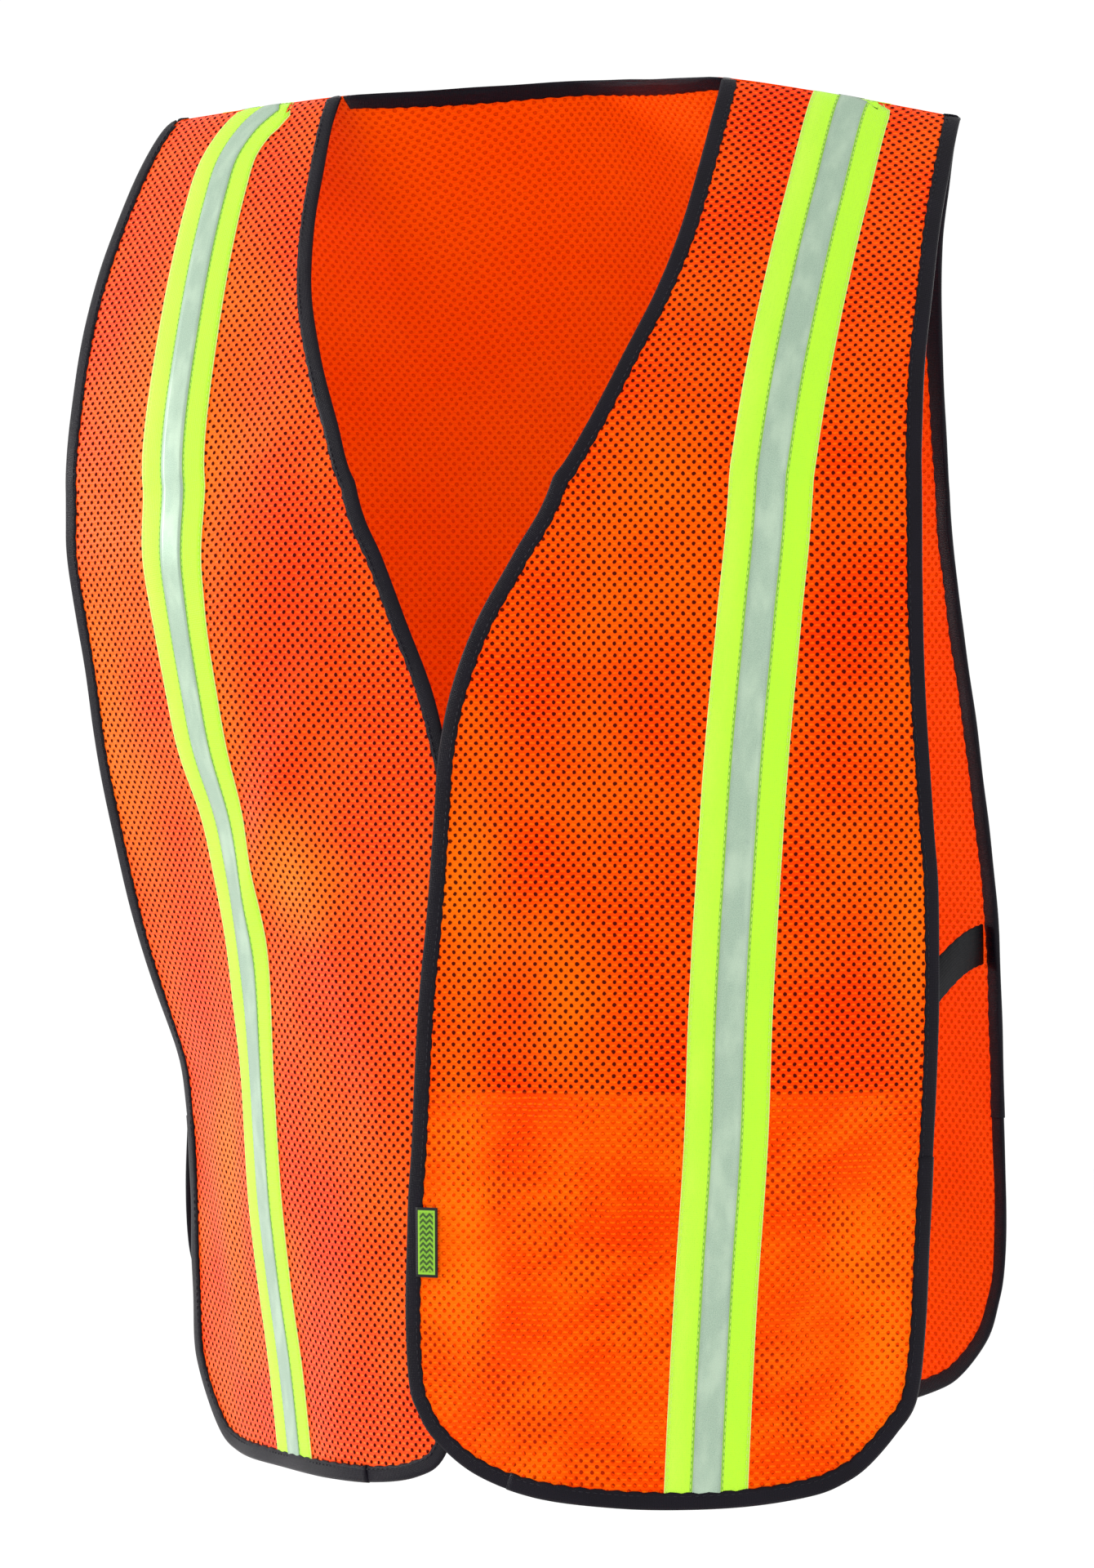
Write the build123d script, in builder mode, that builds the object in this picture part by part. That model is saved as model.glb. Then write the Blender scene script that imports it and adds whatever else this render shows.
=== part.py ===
from build123d import *
from math import radians, sin, cos, hypot
import os

# A mesh safety vest as it hangs on a body. +Z is up, the front faces -Y, the wearer's left is +X,
# and the origin is midway between the shoulder seams. All sizes are in mm.
#
# Every cloth surface is a drape: s is measured along the cloth round the body from the middle,
# and the level u is 0 at the shoulder seam, 1 at chest height and 2 at the hem. Each drape carries
# one net of rows and columns, and every piece sewn on it is a slab over some cells of that net,
# so neighbours share their edges exactly.

CHEST_Z = -187              # below this height the cloth hangs straight down
HEM_Z = -641                # height of level 2
SHOULDER_HALF = 92          # half of the neck opening at the shoulder seam
SHOULDER_RUN = 110          # cloth from the neck point to the shoulder tip
SHOULDER_SET = 35           # how far the shoulder tip lies behind the neck point
NECK_S = 98                 # the neck point, along the cloth
NECK_DEPTH = 60             # how far the back neck lies behind the neck points
NECK_RISE = 10              # how far the back neck stands above them
NECK_BINDING_LEVEL = 0.12   # the lower edge of the back neck binding
SEAM_GAP = 0.5              # clearance between front and back at the shoulder seam

MESH = (-0.5, 0.5)          # inner to outer face of each layer, from the middle of the mesh
BINDING = (-1.2, -0.5, 0.5, 1.2)    # its walls meet the mesh between the middle two
BINDING_WIDTH = 9.5
TAPE = (0.5, 1.1)
TAPE_WIDTH = 38
SILVER = (1.1, 1.5)
SILVER_WIDTH = 13
POCKET = (-1.4, -0.6)
HOOK = (-2.2, -1.3)
LOOP = (1.3, 2.2)
PATCH_S = (-1.2, 5.5)       # where the hook and loop patches lie across the overlap
PATCH_HEIGHT = 38
PATCH_Z = (-372, -418)      # top of each patch
TAG = (1.25, 1.85)
TAG_S = (-13, -2.5)
TAG_Z = (-511, -542)
ELASTIC_WIDTH = 19
ELASTIC_THICK = 1.2
ELASTIC_MIDDLE_Z = -406
ELASTIC_BACK_S = 207        # where it is sewn inside the back and inside the front
ELASTIC_FRONT_S = 214
ELASTIC_BACK_LIFT = -2.3
ELASTIC_FRONT_LIFT = -5
TAPE_TOP_S = 158            # the stripe's middle at the shoulder seam
TAPE_DRIFT = 40             # how far the stripe leans to the middle by the hem

os.makedirs("parts", exist_ok=True)


def ease(t):
    t = min(max(t, 0), 1)
    return t * t * (3 - 2 * t)


def mix(a, b, w):
    return a + (b - a) * w


def turn_left_front(s, z, low):
    """Degrees by which the cloth has turned away from the front at s."""
    return mix(31, 52, low) * (s / 218) ** 1.5


# The right front is drawn in at the waist: its turn at these distances, at each height
RIGHT_TURN_S = (0, 60, 105, 130, 160, 190, 220)
RIGHT_TURN = [
    (CHEST_Z, (3, 8, 13, 16, 19, 21, 23)),
    (-218, (1, 4, 7, 17, 24, 26, 26)),
    (-250, (2, 2, 8, 26, 28, 27, 26)),
    (-307, (3, 8, 16, 29, 31, 29, 28)),
    (-338, (6, 10, 28, 38, 31, 27, 25)),
    (-398, (9, 19, 32, 38, 37, 34, 31)),
    (-458, (8, 21, 35, 46, 48, 46, 43)),
    (-516, (10, 24, 37, 44, 47, 46, 45)),
    (-576, (13, 29, 41, 44, 44, 42, 42)),
    (HEM_Z, (15, 32, 42, 43, 43, 42, 41)),
]


def read_turn(degrees, s):
    """The turn at s between the stations where it is given."""
    s = min(s, RIGHT_TURN_S[-1])
    for k in range(1, len(RIGHT_TURN_S)):
        if s <= RIGHT_TURN_S[k]:
            share = (s - RIGHT_TURN_S[k - 1]) / (RIGHT_TURN_S[k] - RIGHT_TURN_S[k - 1])
            return mix(degrees[k - 1], degrees[k], share)


def turn_right_front(s, z, low):
    z = max(z, HEM_Z)
    for (top, above), (bottom, below) in zip(RIGHT_TURN, RIGHT_TURN[1:]):
        if z >= bottom:
            share = (z - top) / (bottom - top)
            return mix(read_turn(above, s), read_turn(below, s), share)


def turn_back(s, z, low):
    return mix(34, 38, low) * (s / 205) ** 1.5


class Drape:
    """One cloth surface; facing is -1 for a front and 1 for the back.

    It changes from its chest shape to its waist shape between the two heights in waist.
    """

    def __init__(self, facing, turn, middle_y, low_y, waist, tip_drop, low_x=0):
        self.facing = facing
        self.turn = turn
        self.middle_y = middle_y
        self.low_y = low_y
        self.waist = waist
        self.tip_drop = tip_drop
        self.low_x = low_x

    def section(self, s, z):
        """Plan position of s on the level section at height z."""
        low = ease((self.waist[0] - z) / (self.waist[0] - self.waist[1]))
        x = self.low_x * low
        y = mix(self.middle_y, self.low_y, low)
        steps = max(2, int(abs(s) / 8))
        stride = abs(s) / steps
        for k in range(steps):
            heading = radians(self.turn((k + 0.5) * stride, z, low))
            x += stride * cos(heading) * (1 if s > 0 else -1)
            y -= stride * sin(heading) * self.facing
        return x, y

    def crest(self, s):
        """The shoulder seam, and at the back the neck edge between the seams."""
        out = max(abs(s) - SHOULDER_HALF, 0) / SHOULDER_RUN
        drop = self.tip_drop[0 if s > 0 else 1]
        y = SHOULDER_SET * out ** 1.2
        z = -drop * out ** 1.2
        if self.facing > 0:
            inner = 1 - ease(abs(s) / NECK_S)
            y += NECK_DEPTH * inner + SEAM_GAP
            z += NECK_RISE * inner
        return 0.95 * s, y, z

    def middle(self, s, u):
        """A point in the middle of the cloth's thickness."""
        if u > 1:
            z = mix(CHEST_Z, HEM_Z, u - 1)
            x, y = self.section(s, z)
            return Vector(x, y, z)
        top_x, top_y, top_z = self.crest(s)
        low_x, low_y = self.section(s, CHEST_Z)
        a, b, c, d = (1 - u) ** 3, 3 * u * (1 - u) ** 2, 3 * u * u * (1 - u), u ** 3
        y = a * top_y + b * (top_y + 10 * self.facing) + (c + d) * low_y
        z = (a + b) * top_z + c * (CHEST_Z + 45) + d * CHEST_Z
        return Vector(mix(top_x, low_x, c + d), y, z)

    def point(self, s, u, lift):
        """A point raised by lift on the outer side."""
        across = self.middle(s + 1, u) - self.middle(s - 1, u)
        down = self.middle(s, u + 0.01) - self.middle(s, u - 0.01)
        return self.middle(s, u) + across.cross(down).normalized() * (lift * self.facing)


left = Drape(-1, turn_left_front, -107, -110, (CHEST_Z, -560), (18, 18))
right = Drape(-1, turn_right_front, -102, -105, (CHEST_Z, -480), (3, 3))
back = Drape(1, turn_back, 118, 114, (CHEST_Z, -520), (18, 3), low_x=8)

# Cutting patterns, row by row: a level from 0 to 1 or a height below it, then the edges' s.

LEFT_FRONT_ROWS = [
    (0, 98, 206), (0.15, 99, 206.5), (0.3, 97.5, 207), (0.45, 95, 207.5), (0.6, 88, 209),
    (0.75, 74.5, 210.5), (0.9, 60, 212), (-190, 50, 213), (-235, 23, 213.5), (-280, 3, 215),
    (-330, -4.5, 219), (-390, -9, 223), (-461, -14, 223.5), (-510, -17, 222), (-560, -18.5, 221),
    (-590, -17, 218), (-612, -6, 205.5), (-625, 9, 192), (-631.5, 22, 183), (HEM_Z, 74, 150),
]
RIGHT_FRONT_ROWS = [
    (0, 101, 206), (0.15, 100, 213), (0.3, 98, 219), (0.45, 95, 224), (0.6, 87, 226),
    (0.75, 71, 224), (0.9, 56, 221.5), (-190, 48, 219.5), (-235, 28.5, 219), (-280, 9.5, 218),
    (-330, -3, 222), (-390, -7, 225), (-461, -8, 224), (-510, -8, 221), (-560, -8, 223),
    (-590, -7, 223), (-612, -3, 214), (-625, 4, 203), (-631.5, 17, 196), (HEM_Z, 74, 150),
]
BACK_ROWS = [
    (0, 205), (NECK_BINDING_LEVEL, 203), (0.3, 197), (0.45, 190), (0.6, 186), (0.75, 183),
    (0.9, 182.5), (-190, 183.5), (-235, 189.5), (-280, 197.5), (-330, 206), (-390, 214), (-461, 217),
    (-510, 219), (-550, 217), (-580, 205), (-597, 188), (-612.5, 155), (-622, 118),
]


def level_of(mark):
    return mark if mark >= 0 else 1 + (mark - CHEST_Z) / (HEM_Z - CHEST_Z)


def inset(rows, column, k):
    """How far along row k the binding's inner edge lies from the cloth edge."""
    above, below = rows[max(k - 1, 0)], rows[min(k + 1, len(rows) - 1)]
    rise = (level_of(below[0]) - level_of(above[0])) * (CHEST_Z - HEM_Z)
    return BINDING_WIDTH * min(hypot(1, (below[column] - above[column]) / rise), 3.2)


def stripe_columns(u):
    """The edges of the lime tape and of the silver strip on it."""
    middle = TAPE_TOP_S - TAPE_DRIFT * (u / 2) ** 1.6
    return [middle + offset / 2 for offset in (-TAPE_WIDTH, -SILVER_WIDTH, SILVER_WIDTH, TAPE_WIDTH)]


def front_net(rows, side):
    """Columns: edge, binding, middle, tape, silver, silver, tape, middle, binding, edge."""
    net = []
    for k, (mark, edge, armhole) in enumerate(rows):
        u = level_of(mark)
        tape = stripe_columns(u)
        first = min(edge + inset(rows, 1, k), tape[0] - 4)
        last = max(armhole - inset(rows, 2, k), tape[3] + 4)
        columns = [edge, first, (first + tape[0]) / 2, *tape, (tape[3] + last) / 2, last, armhole]
        net.append([(side * s, u) for s in columns])
    return net


def back_net(rows):
    """Columns from the right armhole to the left one, with the neck points among them."""
    net = []
    for k, (mark, armhole) in enumerate(rows):
        u = level_of(mark)
        tape = stripe_columns(u)
        last = max(armhole - inset(rows, 1, k), tape[3] + 2)
        armhole = max(armhole, last + 3)
        neck = mix(NECK_S, 70, min(u, 1))
        half = [neck / 3, neck * 2 / 3, neck, *tape, last, armhole]
        net.append([(s, u) for s in [-s for s in reversed(half)] + [0] + half])
    return net


def slab(drape, net, layer, cells):
    """A closed solid over cells of the net, from the inner to the outer face of its layer."""
    corners = {}
    for lift in layer:
        for row, column in cells:
            for i, j in ((row, column), (row, column + 1), (row + 1, column), (row + 1, column + 1)):
                corners[i, j, lift] = drape.point(*net[i][j], lift)
    faces = []
    for row, column in cells:
        ring = [(row, column), (row, column + 1), (row + 1, column + 1), (row + 1, column)]
        for lift in (layer[0], layer[-1]):
            a, b, c, d = [corners[i, j, lift] for i, j in ring]
            faces += [Face(Wire.make_polygon([a, b, c])), Face(Wire.make_polygon([a, c, d]))]
        beyond = [(row - 1, column), (row, column + 1), (row + 1, column), (row, column - 1)]
        for k in range(4):
            if beyond[k] not in cells:
                faces += wall(corners, layer, *sorted((ring[k], ring[(k + 1) % 4])))
    return Solid(Shell(faces))


def wall(corners, layer, start, end):
    """The side of a slab, split the same way for both pieces that meet there."""
    faces = []
    for low, high in zip(layer, layer[1:]):
        a, b = corners[*start, low], corners[*end, low]
        c, d = corners[*end, high], corners[*start, high]
        faces += [Face(Wire.make_polygon([a, b, c])), Face(Wire.make_polygon([a, c, d]))]
    return faces


def block(rows, columns):
    return [(row, column) for row in rows for column in columns]


def sew(label, drape, net, layer, cells):
    """One piece sewn on a drape, written to its file."""
    with BuildPart() as piece:
        add(slab(drape, net, layer, cells))
    finish(piece, label)


def finish(piece, label):
    piece.part.label = label
    export_step(piece.part, f"parts/{label}.step")


# Fronts. Column 0 is the binding on the neck and front edge, column 8 the one at the side, and
# the last row of cells the one at the hem.

FRONT_LAST = len(LEFT_FRONT_ROWS) - 2
SPLICE_ROW = 12             # the armhole binding is lapped over the lower binding here
POCKET_FROM = 12

for name, drape, rows, side in (
    ("left", left, LEFT_FRONT_ROWS, 1),
    ("right", right, RIGHT_FRONT_ROWS, -1),
):
    net = front_net(rows, side)
    upright = range(FRONT_LAST)
    sew(f"{name}_front_panel", drape, net, MESH, block(upright, range(1, 8)))
    lower = block(upright, [0]) + block([FRONT_LAST], range(9)) + block(range(SPLICE_ROW, FRONT_LAST), [8])
    sew(f"{name}_front_binding", drape, net, BINDING, lower)
    sew(f"{name}_front_armhole_binding", drape, net, BINDING, block(range(SPLICE_ROW), [8]))
    sew(f"{name}_front_tape", drape, net, TAPE, block(upright, range(3, 6)))
    sew(f"{name}_front_reflective", drape, net, SILVER, block(upright, [4]))
    if name == "left":
        sew("pocket_panel", drape, net, POCKET, block(range(POCKET_FROM, FRONT_LAST), range(1, 8)))

# Back. The neck binding takes the first row between the neck points.

BACK_LAST = len(BACK_ROWS) - 2
net = back_net(BACK_ROWS)
columns = len(net[0]) - 1
neck_cells = block([0], range(6, columns - 6))
mesh_cells = block(range(BACK_LAST), range(1, columns - 1))
sew("back_panel", back, net, MESH, [cell for cell in mesh_cells if cell not in neck_cells])
sew("back_neck_binding", back, net, BINDING, neck_cells)
sides = block(range(SPLICE_ROW, BACK_LAST), [0, columns - 1])
sew("back_hem_binding", back, net, BINDING, sides + block([BACK_LAST], range(columns)))
for name, edge_column, tape_column in (("right", 0, 2), ("left", columns - 1, columns - 5)):
    sew(f"{name}_back_armhole_binding", back, net, BINDING, block(range(SPLICE_ROW), [edge_column]))
    tape_cells = block(range(BACK_LAST), range(tape_column, tape_column + 3))
    sew(f"{name}_back_tape", back, net, TAPE, tape_cells)
    sew(f"{name}_back_reflective", back, net, SILVER, block(range(BACK_LAST), [tape_column + 1]))


# Hook patches inside the left front and loop patches outside the right one, in the overlap

def patches(label, drape, layer, direction):
    with BuildPart() as pair:
        for top in PATCH_Z:
            marks = [[(direction * s, level_of(z)) for s in PATCH_S] for z in (top, top - PATCH_HEIGHT)]
            add(slab(drape, marks, layer, [(0, 0)]))
    finish(pair, label)


patches("left_hook_patches", left, HOOK, 1)
patches("right_loop_patches", right, LOOP, 1)

# Woven tag on the front edge

tag_net = [[(s, level_of(z)) for s in TAG_S] for z in TAG_Z]
sew("edge_tag", left, tag_net, TAG, [(0, 0)])


# Side elastics, sewn inside the back edge and inside the front edge

def elastic(label, front, side):
    u = level_of(ELASTIC_MIDDLE_Z)
    rear = back.point(side * ELASTIC_BACK_S, u, ELASTIC_BACK_LIFT)
    fore = front.point(side * ELASTIC_FRONT_S, u, ELASTIC_FRONT_LIFT)
    with BuildPart() as band:
        with BuildSketch(Plane.XY.offset(ELASTIC_MIDDLE_Z - ELASTIC_WIDTH / 2)):
            with BuildLine():
                Line((rear.X, rear.Y), (fore.X, fore.Y))
            trace(line_width=ELASTIC_THICK)
        extrude(amount=ELASTIC_WIDTH)
    finish(band, label)


elastic("left_side_elastic", left, 1)
elastic("right_side_elastic", right, -1)
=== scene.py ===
"""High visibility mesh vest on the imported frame: cloth, bindings, tapes and stitching.

Lengths inside the cloth functions are in millimetres and become metres when a mesh is made.
Every cloth surface is a drape: s runs round the body from the middle along the cloth, and the
level u is 0 at the shoulder seam, 1 at chest height and 2 at the hem.
"""
import bpy
import math
import numpy as np
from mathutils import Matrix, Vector


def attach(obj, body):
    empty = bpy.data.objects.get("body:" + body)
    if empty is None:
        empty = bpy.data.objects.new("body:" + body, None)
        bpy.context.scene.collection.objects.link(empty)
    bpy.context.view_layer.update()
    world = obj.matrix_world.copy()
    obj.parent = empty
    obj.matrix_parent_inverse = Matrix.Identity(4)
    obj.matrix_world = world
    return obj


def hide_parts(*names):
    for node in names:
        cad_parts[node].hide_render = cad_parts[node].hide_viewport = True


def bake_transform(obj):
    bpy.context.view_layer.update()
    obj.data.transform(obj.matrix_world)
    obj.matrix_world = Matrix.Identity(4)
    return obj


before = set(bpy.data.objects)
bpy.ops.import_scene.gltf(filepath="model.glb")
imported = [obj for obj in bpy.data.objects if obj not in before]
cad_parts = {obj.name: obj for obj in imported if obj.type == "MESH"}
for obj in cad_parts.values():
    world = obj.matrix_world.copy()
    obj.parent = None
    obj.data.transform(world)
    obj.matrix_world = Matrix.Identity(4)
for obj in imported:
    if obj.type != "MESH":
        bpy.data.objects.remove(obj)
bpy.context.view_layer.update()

MM = 0.001
CHEST_Z, HEM_Z = -187, -641
SHOULDER_HALF, SHOULDER_RUN, SHOULDER_SET = 92, 110, 35
NECK_S, NECK_DEPTH, NECK_RISE = 98, 60, 10
TAPE_WIDTH, SILVER_WIDTH = 37, 12.5
STITCH_LINES = (-17.2, -7.0, 7.0, 17.2)
MESH_LIFTS, POCKET_LIFTS, POCKET_HEM_LIFTS = (-0.35, 0.35), (-1.15, -0.75), (-1.75, -1.25)
TAPE_LIFTS, SILVER_LIFTS, TAG_LIFTS = (0.4, 0.95), (0.97, 1.25), (1.3, 1.8)
PANEL_INSET, POCKET_INSET = 3.5, 5.5
PANEL_COLUMNS, BACK_COLUMNS, ROW_STEP = 64, 124, 0.0078
BINDING_SEAM, BINDING_LIFT, LAP_THICKENING = 5.4, 1.12, 1.35
POCKET_Z, POCKET_V = -457, -273
PATCH_HEIGHT = 38


# Small mathematics

def ease(t):
    t = np.clip(t, 0, 1)
    return t * t * (3 - 2 * t)


def mix(a, b, w):
    return a + (b - a) * w


def bump(x, middle, width):
    """A smooth hill of height 1."""
    return np.exp(-((x - middle) / width) ** 2)


def smooth_curve(points, step=0.25):
    """A Catmull-Rom curve through given points."""
    p = np.array(points, float)
    p = np.vstack([2 * p[0] - p[1], p, 2 * p[-1] - p[-2]])
    t = np.arange(0, 1, step / 4)[:, None]
    runs = []
    for k in range(1, len(p) - 2):
        a, b, c, d = p[k - 1:k + 3]
        runs.append(0.5 * (2 * b + (c - a) * t + (2 * a - 5 * b + 4 * c - d) * t ** 2
                           + (3 * b - a - 3 * c + d) * t ** 3))
    return np.vstack(runs + [p[-2:-1]])


# Turns: how far the cloth has turned away from the front or back, in degrees, at distance s

def turn_left_front(s, z, low):
    return mix(31, 52, low) * (s / 218) ** 1.5


# The right front is drawn in at the waist: its turn at these distances, at each height
RIGHT_TURN_S = (0, 60, 105, 130, 160, 190, 220)
RIGHT_TURN = [
    (CHEST_Z, (3, 8, 13, 16, 19, 21, 23)),
    (-218, (1, 4, 7, 17, 24, 26, 26)),
    (-250, (2, 2, 8, 26, 28, 27, 26)),
    (-307, (3, 8, 16, 29, 31, 29, 28)),
    (-338, (6, 10, 28, 38, 31, 27, 25)),
    (-398, (9, 19, 32, 38, 37, 34, 31)),
    (-458, (8, 21, 35, 46, 48, 46, 43)),
    (-516, (10, 24, 37, 44, 47, 46, 45)),
    (-576, (13, 29, 41, 44, 44, 42, 42)),
    (HEM_Z, (15, 32, 42, 43, 43, 42, 41)),
]


def turn_right_front(s, z, low):
    rows = [np.interp(s, RIGHT_TURN_S, degrees) for height, degrees in RIGHT_TURN]
    heights = [height for height, degrees in RIGHT_TURN]
    k = int(np.clip(np.searchsorted([-h for h in heights], -z), 1, len(heights) - 1))
    share = (z - heights[k - 1]) / (heights[k] - heights[k - 1])
    return mix(rows[k - 1], rows[k], np.clip(share, 0, 1))


def turn_back(s, z, low):
    return mix(34, 38, low) * (s / 205) ** 1.5


# Folds: how far the cloth stands out of its smooth surface

def folds_left_front(s, z):
    soft = 2.2 * np.sin(s / 34 + z / 95) * ease((-z - 150) / 200)
    pull = 3.0 * bump(s + 0.35 * (z + 430), 60, 22) * bump(z, -430, 150)
    dent = -2.5 * bump(s - 0.2 * (z + 560), 176, 20) * bump(z, -540, 110)
    return soft + pull + dent


def folds_right_front(s, z):
    s = -s
    pull = 2.2 * bump(s + 0.5 * (z + 330), 96, 13) * bump(z, -335, 70)
    second = 1.8 * bump(s - 0.4 * (z + 400), 62, 15) * bump(z, -420, 80)
    shoulder = -2.0 * bump(s + 0.15 * (z + 120), 110, 22) * bump(z, -130, 80)
    low_side = 1.5 * bump(s - 0.12 * (z + 560), 175, 14) * bump(z, -540, 90)
    low_front = 1.8 * bump(s + 0.25 * (z + 560), 60, 20) * bump(z, -540, 110)
    return pull + second + shoulder + low_side + low_front


def folds_back(s, z):
    soft = 2.5 * np.sin(s / 38 + 0.6) * ease((-z - 120) / 250)
    return soft + 3.0 * bump(s - 0.3 * (z + 200), 40, 30) * bump(z, -180, 120)


def soften(field, reach):
    """A running average down the rows of a table."""
    weights = np.hanning(2 * reach + 3)[1:-1]
    padded = np.pad(field, ((reach, reach), (0, 0)), mode="edge")
    parts = [w * padded[k:k + len(field)] for k, w in enumerate(weights / weights.sum())]
    return np.sum(parts, axis=0)


def waist_share(waist, z):
    """How far the cloth has changed from its chest shape to its waist shape at each height."""
    heights, shares = np.array(waist[::-1]).T
    return soften(np.interp(z, heights, shares)[:, None], 5)[:, 0]


class Drape:
    """A table of one cloth surface over s and u, read by interpolation."""

    S_STEP, S_REACH = 2.0, 250
    U_STEP = 0.0075

    def __init__(self, facing, turn, middle_y, low_y, waist, tip_drop, folds, low_x=0):
        self.facing = facing
        s = np.arange(-self.S_REACH, self.S_REACH + 1, self.S_STEP)
        u = np.arange(-0.03, 2.1, self.U_STEP)
        self.s, self.u = s, u
        z_low = np.where(u > 1, mix(CHEST_Z, HEM_Z, u - 1), CHEST_Z)
        half = np.arange(0, self.S_REACH + 1, self.S_STEP)
        x, y = np.zeros((len(u), len(s))), np.zeros((len(u), len(s)))
        lows = waist_share(waist, z_low)
        turns = np.array([turn(half + self.S_STEP / 2, z, low) for z, low in zip(z_low, lows)])
        turns = soften(soften(turns, 5).T, 5).T
        for row, low in enumerate(lows):
            heading = np.radians(turns[row])
            along = np.concatenate([[0], np.cumsum(np.cos(heading[:-1]))]) * self.S_STEP
            away = np.concatenate([[0], np.cumsum(np.sin(heading[:-1]))]) * self.S_STEP
            x[row] = low_x * low + np.concatenate([-along[:0:-1], along])
            y[row] = mix(middle_y, low_y, low) - facing * np.concatenate([away[:0:-1], away])
        out = np.maximum(np.abs(s) - SHOULDER_HALF, 0) / SHOULDER_RUN
        top_y = SHOULDER_SET * out ** 1.2
        top_z = -np.where(s > 0, tip_drop[0], tip_drop[1]) * out ** 1.2
        if facing > 0:
            inner = 1 - ease(np.abs(s) / NECK_S)
            top_y = top_y + NECK_DEPTH * inner
            top_z = top_z + NECK_RISE * inner
        t = np.minimum(u, 1)[:, None]
        a, b, c, d = (1 - t) ** 3, 3 * t * (1 - t) ** 2, 3 * t * t * (1 - t), t ** 3
        upper = u[:, None] < 1
        z = np.where(upper, (a + b) * top_z + c * (CHEST_Z + 45) + d * CHEST_Z, z_low[:, None])
        chest = np.argmin(np.abs(u - 1))
        y = np.where(upper, a * top_y + b * (top_y + 10 * facing) + (c + d) * y[chest], y)
        x = np.where(upper, mix(0.95 * s, x[chest], c + d), x)
        flat = np.stack([x, y, z], -1)
        normal = self.normals(flat)
        self.table = flat + normal * folds(s[None, :], z)[..., None]
        self.normal = self.normals(self.table)
        height = np.linalg.norm(np.diff(self.table, axis=0), axis=-1)
        down = np.vstack([np.zeros(len(s)), np.cumsum(height, axis=0)])
        self.v = down[chest] - down

    def normals(self, grid):
        across = np.gradient(grid, axis=1)
        down = np.gradient(grid, axis=0)
        n = np.cross(across, down) * self.facing
        return n / np.linalg.norm(n, axis=-1, keepdims=True)

    def read(self, field, s, u):
        """Bilinear reading of a table at any s and u."""
        i = np.clip((np.asarray(u) - self.u[0]) / self.U_STEP, 0, len(self.u) - 1.001)
        j = np.clip((np.asarray(s) + self.S_REACH) / self.S_STEP, 0, len(self.s) - 1.001)
        i0, j0 = i.astype(int), j.astype(int)
        fi, fj = i - i0, j - j0
        if field.ndim == 3:
            fi, fj = fi[..., None], fj[..., None]
        top = field[i0, j0] * (1 - fj) + field[i0, j0 + 1] * fj
        low = field[i0 + 1, j0] * (1 - fj) + field[i0 + 1, j0 + 1] * fj
        return top * (1 - fi) + low * fi

    def at(self, s, u, lift=0.0):
        lift = np.asarray(lift, float)
        if lift.ndim:
            lift = lift[..., None]
        return self.read(self.table, s, u) + self.read(self.normal, s, u) * lift

    def uv(self, s, u):
        return np.stack([np.asarray(s, float) + 0 * np.asarray(u), self.read(self.v, s, u)], -1)

    def shift(self, s, u, side, run):
        """Moves a path sideways over the cloth by side mm, run being its direction in (s, u)."""
        e = 0.5
        along_s = (self.at(s + e, u) - self.at(s - e, u)) / (2 * e)
        along_u = (self.at(s, u + 0.005) - self.at(s, u - 0.005)) / 0.01
        tangent = along_s * run[:, :1] + along_u * run[:, 1:]
        normal = self.read(self.normal, s, u)
        across = np.cross(normal, tangent)
        across /= np.linalg.norm(across, axis=-1, keepdims=True)
        g11 = (along_s * along_s).sum(-1)
        g12 = (along_s * along_u).sum(-1)
        g22 = (along_u * along_u).sum(-1)
        b1, b2 = (across * along_s).sum(-1), (across * along_u).sum(-1)
        det = g11 * g22 - g12 * g12
        ds, du = (b1 * g22 - b2 * g12) / det, (b2 * g11 - b1 * g12) / det
        return s + side * ds, np.clip(u + side * du, -0.02, 2.08)


LEFT_WAIST = [(CHEST_Z, 0), (-260, 0.1), (-374, 0.5), (-487, 0.9), (-560, 1)]
RIGHT_WAIST = [(CHEST_Z, 0.05), (-232, 0.15), (-252, 0.42), (-305, 0.55), (-345, 0.75), (-430, 0.92),
               (-480, 1)]
BACK_WAIST = [(CHEST_Z, 0), (-253, 0.1), (-354, 0.5), (-454, 0.9), (-520, 1)]
left = Drape(-1, turn_left_front, -107, -110, LEFT_WAIST, (18, 18), folds_left_front)
right = Drape(-1, turn_right_front, -102, -105, RIGHT_WAIST, (3, 3), folds_right_front)
back = Drape(1, turn_back, 118, 114, BACK_WAIST, (18, 3), folds_back, low_x=8)


# Cutting patterns: (s, u) round the edge of each cloth, u worked out from the height below the chest

def level(z):
    return 1 + (z - CHEST_Z) / (HEM_Z - CHEST_Z)


def pattern(upper_in, lower, upper_out):
    return upper_in + [(s, level(z)) for s, z in lower] + upper_out


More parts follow.
